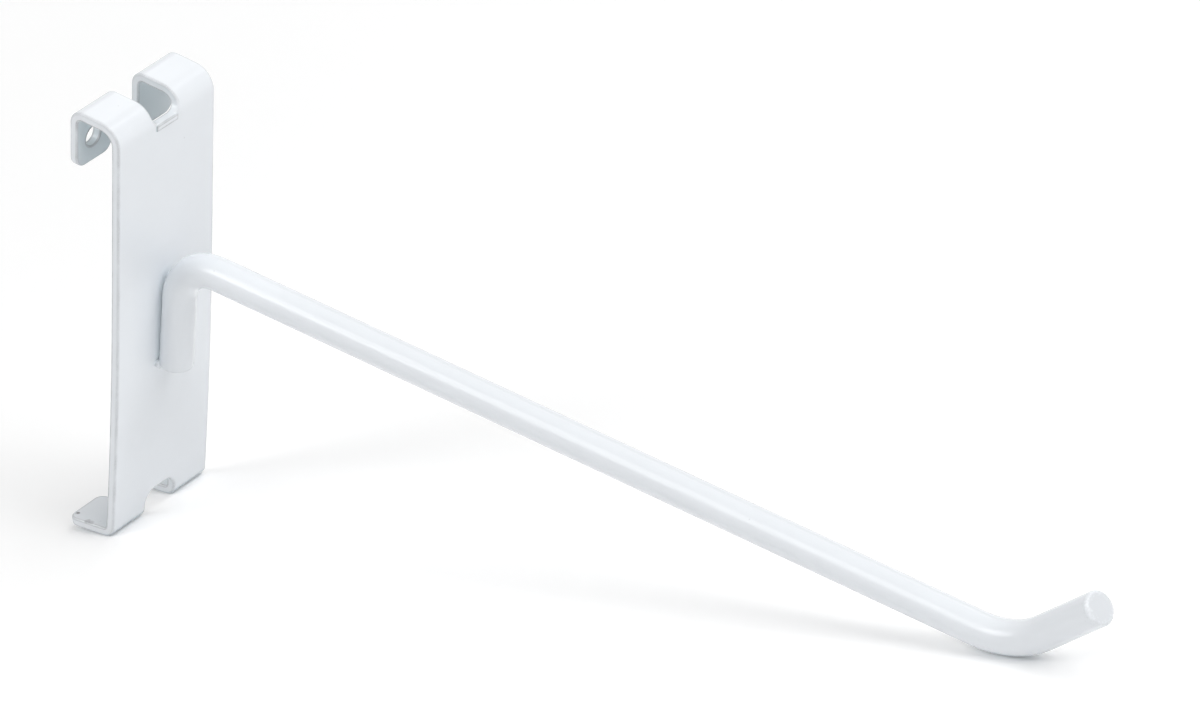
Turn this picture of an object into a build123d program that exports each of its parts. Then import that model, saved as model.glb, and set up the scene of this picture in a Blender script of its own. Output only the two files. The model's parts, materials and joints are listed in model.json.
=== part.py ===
from build123d import *
import os
from math import cos, radians, sin, sqrt, tan

# Display hook for a wire grid panel, in millimetres.
# A folded steel plate hangs on one grid wire by two hooks, and two feet under the next wire
# down steady it. A round wire arm with an upturned tip is welded to the plate's face.
# The part stands as it hangs: +Z up, the grid behind it at +Y, the arm towards -Y.
# The origin is where the grid wire seats: under the hooks, midway across the wire gap.

# Sheet of the back plate
SHEET = 1.7
PLATE_WIDTH = 26.8
EDGE_RADIUS = 0.4
EDGE_BREAK = 0.2

# Hooks over the upper grid wire
WIRE_GAP = 8.0
WEB_RISE = 1.5
FRONT_BEND = 2.6
REAR_BEND = 1.1
LIP_REACH = 10.65
LIP_CORNER = 2.4

# Saddle cut between the hooks, and the low lip pressed up along its front edge
SADDLE_WIDTH = 7.2
SADDLE_DEPTH = 2.35
SADDLE_CORNER = 2.0
PRESSED_WIDTH = 5.8
PRESSED_HEIGHT = 1.2
PRESSED_RISE = 0.25
PRESSED_EDGE = 0.15

# Hanging hole through the left hook's lip
HOLE_WIDTH = 4.0
HOLE_SIDE = 8.9
HOLE_DROP = 5.5

# Gentle bow of the plate's lower half, towards the grid
BOW_START = 35.75
BOW_ANGLE = 2.45
BOW_TO_FOOT = 1.4

# Feet under the lower grid wire
SEAT_TO_FOOT = 86.35
FOOT_LENGTH = 9.2
FOOT_DROOP = 8.0
FOOT_BEND = 0.8
FOOT_CORNER = 1.8

# Arch cut between the feet
ARCH_WIDTH = 8.2
ARCH_RISE = 3.7
ARCH_CORNER = 2.7

# Bent wire of the arm
WIRE = 6.35
ARM_DEPTH = 30.35
ARM_LENGTH = 182.7
LEG_LENGTH = 23.7
LEG_LEAN = 2.35
LEG_BEND = 9.0
LEG_RIM = 0.3
TIP_LENGTH = 22.5
TIP_ANGLE = 44.0
TIP_BEND = 19.1
TIP_RIM = 0.7

# Weld at the leg's lower end
WELD_BED = 0.4
BEAD_RADIUS = 0.8
BEAD_LENGTH = 1.7
BEAD_TAPER = 0.45

# Places that follow from the sizes
BACK_Y = -WIRE_GAP / 2
LIP_Y = WIRE_GAP / 2
FACE_Y = BACK_Y - SHEET
BOW_REACH = (SEAT_TO_FOOT - BOW_TO_FOOT - BOW_START) / 2
BOW_RADIUS = BOW_REACH / tan(radians(BOW_ANGLE) / 2)

# Turn, in degrees, past which two faces meet at a sharp edge
SHARP_TURN = 60.0

# Lengths closer than this are the same
SAME_LENGTH = 0.001


def web_z(y):
    """Height of the hooks' underside, before its bends, at a depth y."""
    return y * tan(radians(WEB_RISE))


def face_y(z):
    """Depth of the plate's front face at a height on its straight or bowed stretch."""
    fall = max(-BOW_START - z, 0)
    return FACE_Y + BOW_RADIUS - sqrt(BOW_RADIUS**2 - fall**2)


def back_line():
    """Line of the plate's inner faces, from the lips' free end to the feet's end."""
    bow_z = -BOW_START - BOW_REACH
    heel_y = BACK_Y + (SEAT_TO_FOOT + bow_z) * tan(radians(BOW_ANGLE))
    droop = radians(FOOT_DROOP)
    corners = [
        (LIP_Y, -LIP_REACH),
        (LIP_Y, web_z(LIP_Y)),
        (BACK_Y, web_z(BACK_Y)),
        (BACK_Y, bow_z),
        (heel_y, -SEAT_TO_FOOT),
        (heel_y + FOOT_LENGTH * cos(droop), -SEAT_TO_FOOT - FOOT_LENGTH * sin(droop)),
    ]
    return FilletPolyline(*corners, radius=[REAR_BEND, FRONT_BEND, BOW_RADIUS, FOOT_BEND])


def folded_sheet(line):
    """The bent strip at its full width, with its inner faces on the line."""
    section = make_face(offset(line, amount=SHEET, side=Side.RIGHT))
    return extrude(Plane.YZ * section, PLATE_WIDTH / 2, both=True)


def saddle():
    """Cut that parts the hooks and their lips, with a round-cornered seat in the plate's face."""
    seat = Rectangle(SADDLE_WIDTH, SADDLE_DEPTH + WIRE_GAP, align=(Align.CENTER, Align.MIN))
    seat = fillet(seat.vertices().group_by(Axis.Y)[0], SADDLE_CORNER)
    face_cut = extrude(Plane.XZ * Pos(0, -SADDLE_DEPTH) * seat, 2 * WIRE_GAP, both=True)
    hung = (Align.CENTER, Align.MIN, Align.MAX)
    lip_cut = Box(SADDLE_WIDTH, 2 * WIRE_GAP, WIRE_GAP + 2 * LIP_REACH, align=hung)
    return face_cut + Pos(0, 0, WIRE_GAP) * lip_cut


def pressed_lip():
    """Low lip raised on the plate's face along the saddle's flat edge."""
    hung = (Align.CENTER, Align.CENTER, Align.MAX)
    lip = Box(PRESSED_WIDTH, PRESSED_RISE + EDGE_RADIUS, PRESSED_HEIGHT, align=hung)
    lip = Pos(0, FACE_Y + (EDGE_RADIUS - PRESSED_RISE) / 2, -SADDLE_DEPTH) * lip
    return fillet(lip.faces().sort_by(Axis.Y)[0].edges(), PRESSED_EDGE)


def lip_hole():
    """Round hole through the lip of the left hook."""
    through = Rot(90, 0, 0) * Cylinder(HOLE_WIDTH / 2, 2 * SHEET)
    return Pos(-HOLE_SIDE, LIP_Y + SHEET / 2, -HOLE_DROP) * through


def arch():
    """Cut that parts the feet, with a round-cornered top in the plate's face."""
    outline = Rectangle(ARCH_WIDTH, 4 * ARCH_RISE, align=(Align.CENTER, Align.MAX))
    outline = fillet(outline.vertices().group_by(Axis.Y)[-1], ARCH_CORNER)
    top = ARCH_RISE - SEAT_TO_FOOT
    return extrude(Plane.XZ * Pos(0, top) * outline, WIRE_GAP + 2 * FOOT_LENGTH, both=True)


def round_end(plate, end, radius):
    """Round the corners that the strip has at one of its ends."""
    corners = []
    for edge in plate.edges():
        off_end = edge.center() - Vector(edge.center().X, end.X, end.Y)
        if abs(edge.length - SHEET) < SAME_LENGTH and off_end.length < SHEET:
            corners.append(edge)
    return fillet(corners, radius)


def rim_edges(plate, line):
    """Sharp edges round the sheet's outer faces, and those round its inner faces."""
    inner_line = Plane.YZ * line
    outer = []
    inner = []
    for edge in plate.edges():
        middle = edge @ 0.5
        faces = [face for face in plate.faces() if any(edge.is_same(side) for side in face.edges())]
        normals = [face.normal_at(middle) for face in faces]
        if len(normals) != 2 or normals[0].get_angle(normals[1]) < SHARP_TURN:
            continue
        if inner_line.distance_to(Vertex(0, middle.Y, middle.Z)) < SHEET / 2:
            inner.append(edge)
        else:
            outer.append(edge)
    return outer, inner


def back_plate():
    """The folded plate with its hooks and feet, rounded outer edges and eased inner ones."""
    line = back_line()
    plate = folded_sheet(line) - saddle() - arch()
    plate = round_end(plate, line @ 0, LIP_CORNER)
    plate = round_end(plate, line @ 1, FOOT_CORNER)
    plate = fillet(rim_edges(plate, line)[0], EDGE_RADIUS)
    plate = chamfer(rim_edges(plate, line)[1], EDGE_BREAK)
    return plate - lip_hole() + pressed_lip()


def wire_corners():
    """Corners of the wire's axis: the leg's end, the upper bend, the tip's bend and the tip."""
    leg_end_z = -ARM_DEPTH - LEG_LENGTH
    leg_end_y = face_y(leg_end_z) - WIRE / 2 + WELD_BED
    top_y = leg_end_y - LEG_LENGTH * tan(radians(LEG_LEAN))
    bend_y = top_y - ARM_LENGTH
    rise = radians(TIP_ANGLE)
    tip_y = bend_y - TIP_LENGTH * cos(rise)
    tip_z = -ARM_DEPTH + TIP_LENGTH * sin(rise)
    return [(leg_end_y, leg_end_z), (top_y, -ARM_DEPTH), (bend_y, -ARM_DEPTH), (tip_y, tip_z)]


def bent_wire():
    """The wire swept along its bends, with both ends eased, before it beds into the plate."""
    path = Plane.YZ * FilletPolyline(*wire_corners(), radius=[LEG_BEND, TIP_BEND])
    wire = sweep(Plane(path @ 0, z_dir=path % 0) * Circle(WIRE / 2), path)
    leg_end = wire.faces().filter_by(GeomType.PLANE).sort_by(Axis.Y)[-1]
    wire = fillet(leg_end.edges(), LEG_RIM)
    tip_end = wire.faces().filter_by(GeomType.PLANE).sort_by(Axis.Y)[0]
    return fillet(tip_end.edges(), TIP_RIM)


def leg_beads(plate, wire):
    """Two small weld beads with tapered ends, in the grooves beside the leg's lower end."""
    foot, top = wire_corners()[:2]
    leg_up = Vector(0, top[0] - foot[0], top[1] - foot[1])
    stand_off = BEAD_RADIUS / 2
    groove = sqrt((WIRE / 2) ** 2 - (WIRE / 2 - WELD_BED - stand_off) ** 2)
    blank = Cylinder(BEAD_RADIUS, BEAD_LENGTH)
    blank = chamfer(blank.edges().filter_by(GeomType.CIRCLE), BEAD_TAPER)
    beads = []
    for side in (-1, 1):
        root = Vector(side * groove, face_y(foot[1]) - stand_off, foot[1])
        bead = Plane(root, z_dir=leg_up) * blank - plate - wire
        beads.append(bead.solids().sort_by(SortBy.VOLUME)[-1])
    return Compound(beads)


def main():
    plate = back_plate()
    wire = bent_wire() - plate
    beads = leg_beads(plate, wire)
    os.makedirs("parts", exist_ok=True)
    export_step(plate, "parts/back_plate.step")
    export_step(wire, "parts/arm_wire.step")
    export_step(beads, "parts/leg_weld.step")


main()
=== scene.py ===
import json
import math
from collections import namedtuple

import bpy
from bpy.props import FloatProperty, FloatVectorProperty, PointerProperty
from mathutils import Euler, Matrix, Vector


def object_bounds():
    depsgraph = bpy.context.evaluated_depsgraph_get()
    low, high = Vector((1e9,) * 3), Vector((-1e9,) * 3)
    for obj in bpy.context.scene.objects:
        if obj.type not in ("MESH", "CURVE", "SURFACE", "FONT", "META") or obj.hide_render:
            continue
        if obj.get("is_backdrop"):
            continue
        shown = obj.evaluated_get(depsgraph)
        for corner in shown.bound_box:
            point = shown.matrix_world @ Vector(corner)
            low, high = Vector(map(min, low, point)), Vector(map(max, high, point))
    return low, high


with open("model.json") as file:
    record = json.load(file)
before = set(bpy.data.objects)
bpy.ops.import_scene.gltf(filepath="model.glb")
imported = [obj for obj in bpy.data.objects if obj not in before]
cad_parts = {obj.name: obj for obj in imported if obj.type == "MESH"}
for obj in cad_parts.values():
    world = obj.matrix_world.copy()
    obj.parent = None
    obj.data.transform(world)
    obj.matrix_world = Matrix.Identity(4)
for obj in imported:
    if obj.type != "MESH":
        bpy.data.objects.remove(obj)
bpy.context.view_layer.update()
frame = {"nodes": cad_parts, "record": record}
NODES = frame["nodes"]
COATS = {entry["slot"]: entry["base_color"] for entry in frame["record"]["materials"]}

bl_info = {
    "name": "Grid Panel Hook",
    "version": (1, 0, 0),
    "blender": (4, 5, 0),
    "location": "3D View > Sidebar > Grid Hook",
    "description": "White powder coat on a folded display hook, with its floor, lamps and camera",
    "category": "Object",
}

MM = 0.001
WHITE = (1.0, 1.0, 1.0, 1.0)

# Camera fitted to the picture: its place in metres from the wire seat, its turn about the
# three axes in degrees, and its lens in millimetres
CAMERA_PLACE = (-0.918378, -0.760972, 0.764924)
CAMERA_TURN = (55.4794, -2.1221, -52.9224)
CAMERA_LENS = 237.392

# The hook lies on its two heels and the bend of the arm's tip, so the floor leans
FLOOR_LEAN = math.radians(16.44)

# Floor in metres: its side, and how far from below the wire seat its lift starts to grow
# and has grown full
FLOOR_SIDE = 16.0
LIFT_REACH = (0.12, 0.45)

# Grain of the floor: grains per metre, and the least and greatest roughness
FLOOR_GRAINS = 90.0
FLOOR_ROUGHNESS = (0.32, 0.40)

Lamp = namedtuple("Lamp", "name turn height level width", defaults=(1.0,))

# Soft panels and two narrow lamps: degrees round the floor from +X towards the grid, degrees
# above the floor, a level in step with the light on a surface that faces the lamp, and a
# width as a share of the panel width
LAMPS = (
    Lamp("front_high_panel", turn=270, height=62, level=0.239),
    Lamp("front_right_high_panel", turn=315, height=62, level=0.222),
    Lamp("front_right_lamp", turn=334, height=42, level=0.013, width=0.3),
    Lamp("front_panel", turn=270, height=35, level=0.244),
    Lamp("near_panel", turn=225, height=12, level=0.10),
    Lamp("left_panel", turn=200, height=50, level=0.055),
    Lamp("rear_left_high_panel", turn=155, height=47, level=0.175, width=1.15),
    Lamp("rear_left_panel", turn=135, height=35, level=0.168),
    Lamp("right_panel", turn=0, height=35, level=0.105),
    Lamp("right_low_panel", turn=0, height=12, level=0.03),
    Lamp("right_lamp", turn=25, height=46, level=0.014, width=0.45),
)

Mark = namedtuple("Mark", "place radius depth dullness")

# Marks, with place and radius in millimetres: a chip and two scuffs on the near foot, a faint
# dark spot on the plate's face, and a darker tone over the cut face of the arm's tip
CHIP = Mark((-11.7, 5.4, -87.2), radius=0.62, depth=1.0, dullness=0.4)
SCUFFS = (
    Mark((-12.9, 1.9, -86.9), radius=0.75, depth=0.4, dullness=0.3),
    Mark((-12.9, 1.0, -86.7), radius=0.75, depth=0.4, dullness=0.3),
)
FACE_SPOT = Mark((8.0, -5.7, -43.2), radius=0.9, depth=0.08, dullness=0.1)
TIP_FACE = Mark((0.0, -208.19, -14.72), radius=3.6, depth=0.17, dullness=0.0)

# Middle of the arm's leg, and how far from it the paler painted shade in the leg's grooves starts
# to give way to the darker painted shade beside other gaps and has gone, in millimetres
LEG_MIDDLE = (0.0, -7.0, -45.0)
LEG_SHADE_REACH = (20.0, 26.0)

# Share of short rays that meet nothing, where a mask of painted shade starts and where it is full
EDGE_SHADE_OPEN = (0.99, 0.78)
HOLLOW_SHADE_OPEN = (0.96, 0.45)
GAP_SHADE_OPEN = (0.85, 0.3)

# Middle of a noise pattern's values, and those between which it passes from tone to tone
NOISE_MIDDLE = 0.5
NOISE_SPAN = (0.3, 0.7)

# Cloudy patches for each flow wave
CLOUD_SHARE = 0.17

# Painted shade along edges: noise cells per metre, their noise span, and the share of the mask
# that is left
EDGE_BREAKS = 260.0
BREAK_SPAN = (0.25, 0.65)
BREAK_SHARES = (0.45, 1.0)

# Specks: cells per metre, the share that hold one, and a speck's rim and middle in its cell
SPECK_CELLS = 420.0
SPECK_SHARE = 0.12
SPECK_RIM = (0.10, 0.03)

# Small marks: ragged cells per metre, how ragged, and the rim's start and end over the radius
MARK_CELLS = 2400.0
MARK_RAGGEDNESS = 0.9
MARK_RIM = (1.0, 0.55)

# Places of the colours among the sockets of a Mix node
MIX_FIRST, MIX_SECOND, MIX_RESULT = 6, 7, 2


def in_metres(values):
    """Lengths or a place given in millimetres, in metres."""
    return [value * MM for value in values]


def add_node(tree, kind, inputs=(), **settings):
    """Add a shader node, set its plain settings and fill or link its inputs."""
    made = tree.nodes.new(kind)
    for name, value in settings.items():
        setattr(made, name, value)
    for name, value in dict(inputs).items():
        if isinstance(value, bpy.types.NodeSocket):
            tree.links.new(value, made.inputs[name])
        else:
            made.inputs[name].default_value = value
    return made


def math_node(tree, operation, first, second, clamp=False):
    """One arithmetic step on two values or sockets."""
    ends = {0: first, 1: second}
    return add_node(tree, "ShaderNodeMath", ends, operation=operation, use_clamp=clamp).outputs[0]


def distance(tree, first, second):
    """Distance between two places."""
    ends = {0: first, 1: second}
    made = add_node(tree, "ShaderNodeVectorMath", ends, operation="DISTANCE")
    return made.outputs["Value"]


def ramp(tree, value, limits, ends=(0.0, 1.0)):
    """Turn a value between two limits smoothly into one between two ends, and clamp it."""
    span = {"From Min": limits[0], "From Max": limits[1], "To Min": ends[0], "To Max": ends[1]}
    inputs = {"Value": value, **span}
    made = add_node(tree, "ShaderNodeMapRange", inputs, interpolation_type="SMOOTHSTEP")
    return made.outputs["Result"]


def noise(tree, place, scale, detail, roughness=0.5):
    """Value of a noise pattern."""
    inputs = {"Vector": place, "Scale": scale, "Detail": detail, "Roughness": roughness}
    return add_node(tree, "ShaderNodeTexNoise", inputs).outputs[0]


def short_rays(tree, reach, limits, **settings):
    """Mask of where many of the short rays from a point meet something."""
    made = add_node(tree, "ShaderNodeAmbientOcclusion", {"Distance": reach}, **settings)
    return ramp(tree, made.outputs["AO"], limits)


def mix_colour(tree, share, first, second):
    """Blend two colours by a mask."""
    inputs = {"Factor": share, MIX_FIRST: first, MIX_SECOND: second}
    return add_node(tree, "ShaderNodeMix", inputs, data_type="RGBA").outputs[MIX_RESULT]


def mix_in(tree, colour, mask, strength, added):
    """Blend another colour in by a mask and a strength."""
    share = math_node(tree, "MULTIPLY", mask, strength)
    return mix_colour(tree, share, colour, (*added, 1.0))


def new_group(name, inputs, outputs):
    """Start a shader node group with named sockets, and return it with its two end nodes."""
    group = bpy.data.node_groups.new(name, "ShaderNodeTree")
    for way, sockets in (("INPUT", inputs), ("OUTPUT", outputs)):
        for socket_name, kind in sockets.items():
            group.interface.new_socket(socket_name, in_out=way, socket_type="NodeSocket" + kind)
    source = group.nodes.new("NodeGroupInput")
    result = group.nodes.new("NodeGroupOutput")
    return group, source.outputs, result.inputs


def flow_ripple_group():
    """The faint waves that molten powder leaves as it flows out, and their cloudy gloss."""
    group, given, result = new_group(
        "Flow Ripple",
        {"Place": "Vector", "Waves Per Metre": "Float"},
        {"Height": "Float", "Cloud": "Float"},
    )
    waves = noise(group, given["Place"], given["Waves Per Metre"], detail=2.0)
    patches = math_node(group, "MULTIPLY", given["Waves Per Metre"], CLOUD_SHARE)
    cloud = noise(group, given["Place"], patches, detail=3.0, roughness=0.6)
    group.links.new(waves, result["Height"])
    group.links.new(cloud, result["Cloud"])


def edge_shade_group():
    """Mask of the sheet's and wire's edges, where shade is painted as a thin dark line."""
    group, given, result = new_group(
        "Painted Edge Shade",
        {"Place": "Vector", "Reach": "Float", "Breaks Per Metre": "Float"},
        {"Mask": "Float"},
    )
    edge = short_rays(group, given["Reach"], EDGE_SHADE_OPEN, samples=16, inside=True, only_local=True)
    breaks = noise(group, given["Place"], given["Breaks Per Metre"], detail=3.0)
    broken = ramp(group, breaks, BREAK_SPAN, BREAK_SHARES)
    group.links.new(math_node(group, "MULTIPLY", edge, broken), result["Mask"])


def hollow_shade_group():
    """Mask of the corners and hollows, where shade is painted."""
    group, given, result = new_group("Painted Hollow Shade", {"Reach": "Float"}, {"Mask": "Float"})
    sheltered = short_rays(group, given["Reach"], HOLLOW_SHADE_OPEN, samples=8, only_local=True)
    group.links.new(sheltered, result["Mask"])


def gap_shade_group():
    """Mask of painted shade on the rims beside narrow gaps, where pieces meet or stand on
    something.
    """
    group, given, result = new_group("Painted Gap Shade", {"Reach": "Float"}, {"Mask": "Float"})
    group.links.new(short_rays(group, given["Reach"], GAP_SHADE_OPEN, samples=8), result["Mask"])


def speck_group():
    """Mask of the few fine specks that a powder coat holds."""
    group, given, result = new_group(
        "Coat Specks",
        {"Place": "Vector", "Cells Per Metre": "Float", "Share": "Float"},
        {"Mask": "Float"},
    )
    scatter = {"Vector": given["Place"], "Scale": given["Cells Per Metre"]}
    cells = add_node(group, "ShaderNodeTexVoronoi", scatter)
    near = ramp(group, cells.outputs["Distance"], SPECK_RIM)
    pick = add_node(group, "ShaderNodeSeparateColor", {0: cells.outputs["Color"]}).outputs[0]
    chosen = math_node(group, "LESS_THAN", pick, given["Share"])
    group.links.new(math_node(group, "MULTIPLY", near, chosen), result["Mask"])


def mark_group():
    """Mask of one small ragged mark at a named place."""
    group, given, result = new_group(
        "Small Mark",
        {"Place": "Vector", "Centre": "Vector", "Radius": "Float"},
        {"Mask": "Float"},
    )
    gap = distance(group, given["Place"], given["Centre"])
    share = math_node(group, "DIVIDE", gap, given["Radius"])
    ragged = noise(group, given["Place"], MARK_CELLS, detail=2.0)
    off_middle = math_node(group, "SUBTRACT", ragged, NOISE_MIDDLE)
    wobble = math_node(group, "MULTIPLY", off_middle, MARK_RAGGEDNESS)
    uneven = math_node(group, "ADD", share, wobble)
    group.links.new(ramp(group, uneven, MARK_RIM), result["Mask"])


def group_node(tree, name, inputs):
    """Place a node group with its own values, and return its outputs."""
    return add_node(tree, "ShaderNodeGroup", inputs, node_tree=bpy.data.node_groups[name]).outputs


def empty_material(name):
    """Start a material with no nodes."""
    material = bpy.data.materials.new(name)
    material.use_nodes = True
    material.node_tree.nodes.clear()
    return material


def tinted(slot, tint):
    """The base colour of a material slot, turned by a tint."""
    return tuple(part * share for part, share in zip(COATS[slot], tint)) + (1.0,)


def coat_colour(tree, place, cloud, slot, settings, edge_shade_share):
    """Colour of the coat: cloudy patches, painted shade in hollows, beside gaps and along edges,
    and specks.
    """
    cloudy = tinted(slot, [settings.cloud_tone] * 3)
    colour = mix_colour(tree, cloud, (*COATS[slot], 1.0), cloudy)
    # Painted shade in corners and hollows, such as inside the hooks' lips and on the feet under
    # the plate
    hollow_shade_mask = group_node(tree, "Painted Hollow Shade", {"Reach": settings.shelter_reach})["Mask"]
    colour = mix_colour(tree, hollow_shade_mask, colour, tinted(slot, settings.shelter_tint))

    # Painted shade beside narrow gaps and where the feet stand, paler in the grooves beside the
    # leg
    off_leg = ramp(tree, distance(tree, place, in_metres(LEG_MIDDLE)), in_metres(LEG_SHADE_REACH))
    dull = tinted(slot, settings.gap_tint)
    rim = mix_colour(tree, off_leg, (*settings.pooled_colour, 1.0), dull)
    gap = group_node(tree, "Painted Gap Shade", {"Reach": settings.gap_reach})["Mask"]
    colour = mix_colour(tree, gap, colour, rim)

    # Painted shade: a broken dark line along the edges of the sheet and the wire
    breaking = {"Place": place, "Reach": settings.edge_reach, "Breaks Per Metre": EDGE_BREAKS}
    edge = group_node(tree, "Painted Edge Shade", breaking)["Mask"]
    edge_strength = settings.edge_strength * edge_shade_share
    colour = mix_in(tree, colour, edge, edge_strength, settings.edge_colour)

    scatter = {"Place": place, "Cells Per Metre": SPECK_CELLS, "Share": SPECK_SHARE}
    specks = group_node(tree, "Coat Specks", scatter)["Mask"]
    return mix_in(tree, colour, specks, settings.speck_strength, settings.mark_colour)


def coat_material(name, slot, settings, marks=(), edge_shade_share=1.0):
    """White powder coat: its colour with shade painted along edges, in hollows and beside gaps,
    its flow ripple and cloudy gloss, and the marks given.
    """
    material = empty_material(name)
    tree = material.node_tree
    place = add_node(tree, "ShaderNodeTexCoord").outputs["Object"]
    waves = {"Place": place, "Waves Per Metre": 1 / settings.ripple_length}
    ripple = group_node(tree, "Flow Ripple", waves)
    colour = coat_colour(tree, place, ripple["Cloud"], slot, settings, edge_shade_share)
    gloss = (settings.gloss_low, settings.gloss_high)
    roughness = ramp(tree, ripple["Cloud"], NOISE_SPAN, gloss)
    for mark in marks:
        spot = {"Place": place, "Centre": in_metres(mark.place), "Radius": mark.radius * MM}
        mask = group_node(tree, "Small Mark", spot)["Mask"]
        colour = mix_in(tree, colour, mask, mark.depth, settings.mark_colour)
        duller = math_node(tree, "MULTIPLY", mask, mark.dullness)
        roughness = math_node(tree, "ADD", roughness, duller, clamp=True)

    bump = add_node(
        tree,
        "ShaderNodeBump",
        {"Strength": 1.0, "Distance": settings.ripple_height, "Height": ripple["Height"]},
    )
    surface = add_node(
        tree,
        "ShaderNodeBsdfPrincipled",
        {"Base Color": colour, "Roughness": roughness, "IOR": 1.5, "Normal": bump.outputs[0]},
    )
    add_node(tree, "ShaderNodeOutputMaterial", {"Surface": surface.outputs[0]})
    return material


def dress(node_name, material):
    """Give a CAD node its finish through its object's material slots."""
    for slot in NODES[node_name].material_slots:
        slot.link = "OBJECT"
        slot.material = material


class HookCoatSettings(bpy.types.PropertyGroup):
    """Finish of the white powder coat, with the shade painted into it."""

    ripple_length: FloatProperty(
        name="Ripple Length",
        description="Distance between the coat's flow waves",
        default=0.0013,
        unit="LENGTH",
        precision=5,
    )
    ripple_height: FloatProperty(
        name="Ripple Height",
        description="Height of the coat's flow waves",
        default=0.000008,
        unit="LENGTH",
        precision=6,
    )
    gloss_low: FloatProperty(
        name="Roughness Where Clear",
        description="Roughness of the coat's glossiest patches",
        default=0.12,
        min=0.0,
        max=1.0,
        subtype="FACTOR",
    )
    gloss_high: FloatProperty(
        name="Roughness Where Cloudy",
        description="Roughness of the coat's dullest patches",
        default=0.19,
        min=0.0,
        max=1.0,
        subtype="FACTOR",
    )
    cloud_tone: FloatProperty(
        name="Cloud Tone",
        description="Tone of the cloudy patches against the clear coat",
        default=0.97,
        min=0.0,
        max=1.0,
        subtype="FACTOR",
    )
    # Painted shade along the edges
    edge_reach: FloatProperty(
        name="Edge Shade Reach",
        description="How far from an edge the painted shade reaches",
        default=0.0005,
        unit="LENGTH",
        precision=5,
    )
    edge_strength: FloatProperty(
        name="Edge Shade Strength",
        description="How much of the painted edge shade shows",
        default=0.85,
        min=0.0,
        max=1.0,
        subtype="FACTOR",
    )
    edge_colour: FloatVectorProperty(
        name="Edge Shade Colour",
        description="Colour of the painted shade along edges",
        default=(0.42, 0.43, 0.45),
        min=0.0,
        max=1.0,
        subtype="COLOR",
    )
    # Painted shade in corners and hollows
    shelter_reach: FloatProperty(
        name="Hollow Shade Reach",
        description="How near another surface must be for shade to be painted in a hollow",
        default=0.012,
        unit="LENGTH",
        precision=4,
    )
    shelter_tint: FloatVectorProperty(
        name="Hollow Shade Tint",
        description="Tone of the painted shade in corners and hollows against the open coat",
        default=(0.83, 0.88, 0.88),
        min=0.0,
        max=1.0,
        subtype="COLOR",
    )
    # Painted shade beside narrow gaps
    gap_reach: FloatProperty(
        name="Gap Shade Reach",
        description="How far the painted shade beside a narrow gap spreads",
        default=0.0018,
        unit="LENGTH",
        precision=4,
    )
    gap_tint: FloatVectorProperty(
        name="Gap Shade Tint",
        description="Tone of the painted shade beside narrow gaps against the open coat",
        default=(0.68, 0.75, 0.79),
        min=0.0,
        max=1.0,
        subtype="COLOR",
    )
    pooled_colour: FloatVectorProperty(
        name="Leg Groove Shade Colour",
        description="Colour of the paler painted shade in the grooves beside the leg",
        default=(0.87, 0.915, 0.95),
        min=0.0,
        max=1.0,
        subtype="COLOR",
    )
    speck_strength: FloatProperty(
        name="Speck Strength",
        description="How much the fine specks show",
        default=0.18,
        min=0.0,
        max=1.0,
        subtype="FACTOR",
    )
    mark_colour: FloatVectorProperty(
        name="Mark Colour",
        description="Colour of specks and of the chip, the scuffs and the other marks",
        default=(0.20, 0.20, 0.21),
        min=0.0,
        max=1.0,
        subtype="COLOR",
    )


class HookStageSettings(bpy.types.PropertyGroup):
    """Floor, lamps and surroundings."""

    floor_colour: FloatVectorProperty(
        name="Floor Colour",
        description="Colour of the table under the hook",
        default=(0.92, 0.92, 0.92),
        min=0.0,
        max=1.0,
        subtype="COLOR",
    )
    floor_lift: FloatProperty(
        name="Floor Lift",
        description="Lift of the floor near the hook, as a camera or a reflection sees it",
        default=0.155,
        min=0.0,
        max=1.0,
        subtype="FACTOR",
    )
    far_lift: FloatProperty(
        name="Far Floor Lift",
        description="The same lift away from the hook, where the lamps' light falls off",
        default=0.215,
        min=0.0,
        max=1.0,
        subtype="FACTOR",
    )
    room_level: FloatProperty(
        name="Room Level",
        description="Even light from all round",
        default=0.12,
        min=0.0,
        max=2.0,
    )
    panel_level: FloatProperty(
        name="Panel Level",
        description="Scale of all the lamps together",
        default=1.0,
        min=0.0,
        max=3.0,
    )
    panel_distance: FloatProperty(
        name="Panel Distance",
        description="Distance of each lamp from the middle of the hook",
        default=1.5,
        unit="LENGTH",
    )
    panel_width: FloatProperty(
        name="Panel Width",
        description="Width of a round soft panel whose own share is 1",
        default=0.75,
        unit="LENGTH",
    )


class HOOK_OT_coat_plate(bpy.types.Operator):
    """Coat the folded plate, with the marks on its near foot and its face"""

    bl_idname = "grid_hook.coat_plate"
    bl_label = "Coat Plate"

    def execute(self, context):
        settings = context.scene.hook_coat
        marks = (CHIP, FACE_SPOT, *SCUFFS)
        dress("back_plate", coat_material("Plate Powder Coat", "plate_coating", settings, marks))
        return {"FINISHED"}


class HOOK_OT_coat_arm(bpy.types.Operator):
    """Coat the bent round wire of the arm, with a darker tone over its cut end"""

    bl_idname = "grid_hook.coat_arm"
    bl_label = "Coat Arm"

    def execute(self, context):
        settings = context.scene.hook_coat
        marks = (TIP_FACE,)
        coat = coat_material("Wire Powder Coat", "wire_coating", settings, marks, edge_shade_share=0.3)
        dress("arm_wire", coat)
        return {"FINISHED"}


class HOOK_OT_coat_weld(bpy.types.Operator):
    """Coat the two weld beads beside the arm's leg"""

    bl_idname = "grid_hook.coat_weld"
    bl_label = "Coat Weld"

    def execute(self, context):
        settings = context.scene.hook_coat
        coat = coat_material("Weld Powder Coat", "weld_coating", settings, edge_shade_share=0.1)
        dress("leg_weld", coat)
        return {"FINISHED"}


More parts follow.
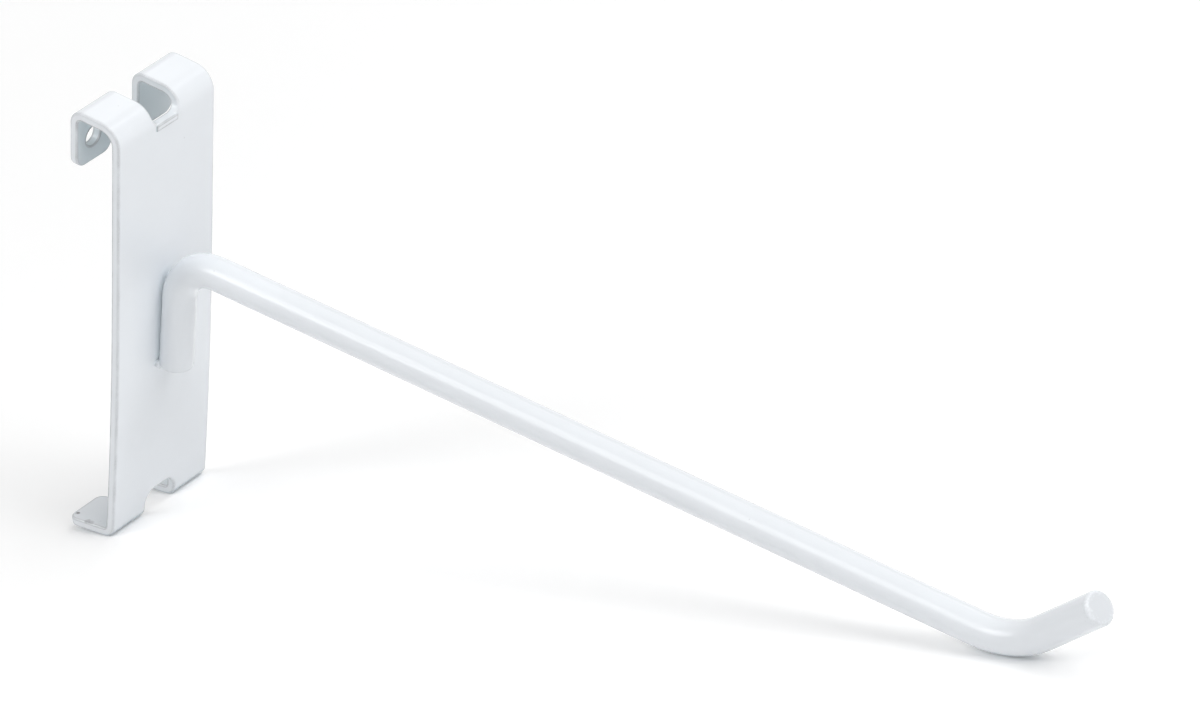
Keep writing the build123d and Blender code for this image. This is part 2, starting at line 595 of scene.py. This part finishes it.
def seen_share(tree):
    """1 where the camera, a reflection or clear material looks, 0 for the light on surfaces."""
    path = add_node(tree, "ShaderNodeLightPath").outputs
    seen = math_node(tree, "MAXIMUM", path["Is Camera Ray"], path["Is Glossy Ray"])
    return math_node(tree, "MAXIMUM", seen, path["Is Transmission Ray"])


def floor_material(settings):
    """Pale matt floor that looks almost white and keeps shadows, and is open from below."""
    material = empty_material("Pale Table")
    tree = material.node_tree
    place = add_node(tree, "ShaderNodeTexCoord").outputs["Object"]
    grain = noise(tree, place, FLOOR_GRAINS, detail=3.0)
    roughness = ramp(tree, grain, NOISE_SPAN, FLOOR_ROUGHNESS)
    colour = (*settings.floor_colour, 1.0)
    paper = add_node(
        tree,
        "ShaderNodeBsdfPrincipled",
        {"Base Color": colour, "Roughness": roughness, "Specular IOR Level": 0.35},
    )
    apart = distance(tree, place, (0.0, 0.0, 0.0))
    full_lift = ramp(tree, apart, LIFT_REACH, (settings.floor_lift, settings.far_lift))
    lift = math_node(tree, "MULTIPLY", seen_share(tree), full_lift)
    glow = add_node(tree, "ShaderNodeEmission", {"Color": WHITE, "Strength": lift})
    lifted = add_node(tree, "ShaderNodeAddShader", {0: paper.outputs[0], 1: glow.outputs[0]})
    below = add_node(tree, "ShaderNodeNewGeometry").outputs["Backfacing"]
    open_side = add_node(tree, "ShaderNodeBsdfTransparent")
    sides = {0: below, 1: lifted.outputs[0], 2: open_side.outputs[0]}
    both = add_node(tree, "ShaderNodeMixShader", sides)
    add_node(tree, "ShaderNodeOutputMaterial", {"Surface": both.outputs[0]})
    return material


def floor_axes():
    """The floor's own axes: along +X, towards the grid, and straight up from it."""
    up = Vector((0.0, math.sin(FLOOR_LEAN), math.cos(FLOOR_LEAN)))
    across = Vector((1.0, 0.0, 0.0))
    return across, up.cross(across), up


def lay_floor(settings):
    """Lay the leaning floor so that it just touches the lowest points of the hook."""
    up = floor_axes()[2]
    lowest = min(vertex.co.dot(up) for node in NODES.values() for vertex in node.data.vertices)
    mesh = bpy.data.meshes.new("table_top")
    half = FLOOR_SIDE / 2
    corners = [(-half, -half, 0), (half, -half, 0), (half, half, 0), (-half, half, 0)]
    mesh.from_pydata(corners, [], [(0, 1, 2, 3)])
    mesh.materials.append(floor_material(settings))
    floor = bpy.data.objects.new("table_top", mesh)
    floor.matrix_world = Matrix.Translation(up * lowest) @ Matrix.Rotation(-FLOOR_LEAN, 4, "X")
    bpy.context.scene.collection.objects.link(floor)
    floor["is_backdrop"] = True


def hang_lamps(settings):
    """Hang the lamps round the hook, each facing its middle, at a level of its own."""
    low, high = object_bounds()
    middle = (Vector(low) + Vector(high)) / 2
    across, inward, up = floor_axes()
    reach = settings.panel_distance
    for name, turn, height, level, width in LAMPS:
        turn, height = math.radians(turn), math.radians(height)
        along_floor = across * math.cos(turn) + inward * math.sin(turn)
        towards = along_floor * math.cos(height) + up * math.sin(height)
        light = bpy.data.lights.new(name, "AREA")
        light.shape = "DISK"
        light.size = settings.panel_width * width
        # Light falls off with the square of the distance, so a level holds at any distance
        light.energy = level * settings.panel_level * math.pi**2 * reach**2
        lamp = bpy.data.objects.new(name, light)
        lamp.location = middle + towards * reach
        lamp.rotation_mode = "QUATERNION"
        lamp.rotation_quaternion = towards.to_track_quat("Z", "Y")
        bpy.context.scene.collection.objects.link(lamp)


def fill_room(settings):
    """Even light from all round, and white where the camera or a reflection looks past."""
    world = bpy.data.worlds.new("White Room")
    bpy.context.scene.world = world
    world.use_nodes = True
    tree = world.node_tree
    tree.nodes.clear()
    strength = ramp(tree, seen_share(tree), (0.0, 1.0), (settings.room_level, 1.0))
    sky = add_node(tree, "ShaderNodeBackground", {"Color": WHITE, "Strength": strength})
    add_node(tree, "ShaderNodeOutputWorld", {"Surface": sky.outputs[0]})


def place_camera():
    """Set the camera where the picture was taken from."""
    camera_data = bpy.data.cameras.new("picture_camera")
    camera_data.lens = CAMERA_LENS
    camera_data.clip_start = 0.05
    camera_data.clip_end = 60.0
    camera = bpy.data.objects.new("picture_camera", camera_data)
    turn = Euler([math.radians(angle) for angle in CAMERA_TURN])
    camera.matrix_world = Matrix.LocRotScale(CAMERA_PLACE, turn, None)
    bpy.context.scene.collection.objects.link(camera)
    bpy.context.scene.camera = camera


class HOOK_OT_set_stage(bpy.types.Operator):
    """Lay the floor, hang the lamps, fill the room with light and place the camera"""

    bl_idname = "grid_hook.set_stage"
    bl_label = "Set Stage"

    def execute(self, context):
        settings = context.scene.hook_stage
        lay_floor(settings)
        hang_lamps(settings)
        fill_room(settings)
        place_camera()
        context.scene.view_settings.view_transform = "Standard"
        return {"FINISHED"}


class HOOK_PT_panel(bpy.types.Panel):
    """Lists the steps that finish the hook"""

    bl_idname = "HOOK_PT_panel"
    bl_label = "Grid Panel Hook"
    bl_space_type = "VIEW_3D"
    bl_region_type = "UI"
    bl_category = "Grid Hook"

    def draw(self, context):
        for operator in OPERATORS:
            self.layout.operator(operator.bl_idname)


GROUPS = (
    flow_ripple_group,
    edge_shade_group,
    hollow_shade_group,
    gap_shade_group,
    speck_group,
    mark_group,
)
OPERATORS = (HOOK_OT_coat_plate, HOOK_OT_coat_arm, HOOK_OT_coat_weld, HOOK_OT_set_stage)
CLASSES = (HookCoatSettings, HookStageSettings, *OPERATORS, HOOK_PT_panel)


def register():
    for made in CLASSES:
        bpy.utils.register_class(made)
    bpy.types.Scene.hook_coat = PointerProperty(type=HookCoatSettings)
    bpy.types.Scene.hook_stage = PointerProperty(type=HookStageSettings)


def unregister():
    del bpy.types.Scene.hook_stage
    del bpy.types.Scene.hook_coat
    for made in reversed(CLASSES):
        bpy.utils.unregister_class(made)


def main():
    register()
    for make_group in GROUPS:
        make_group()
    bpy.ops.grid_hook.coat_plate()
    bpy.ops.grid_hook.coat_arm()
    bpy.ops.grid_hook.coat_weld()
    bpy.ops.grid_hook.set_stage()


if __name__ == "__main__":
    main()
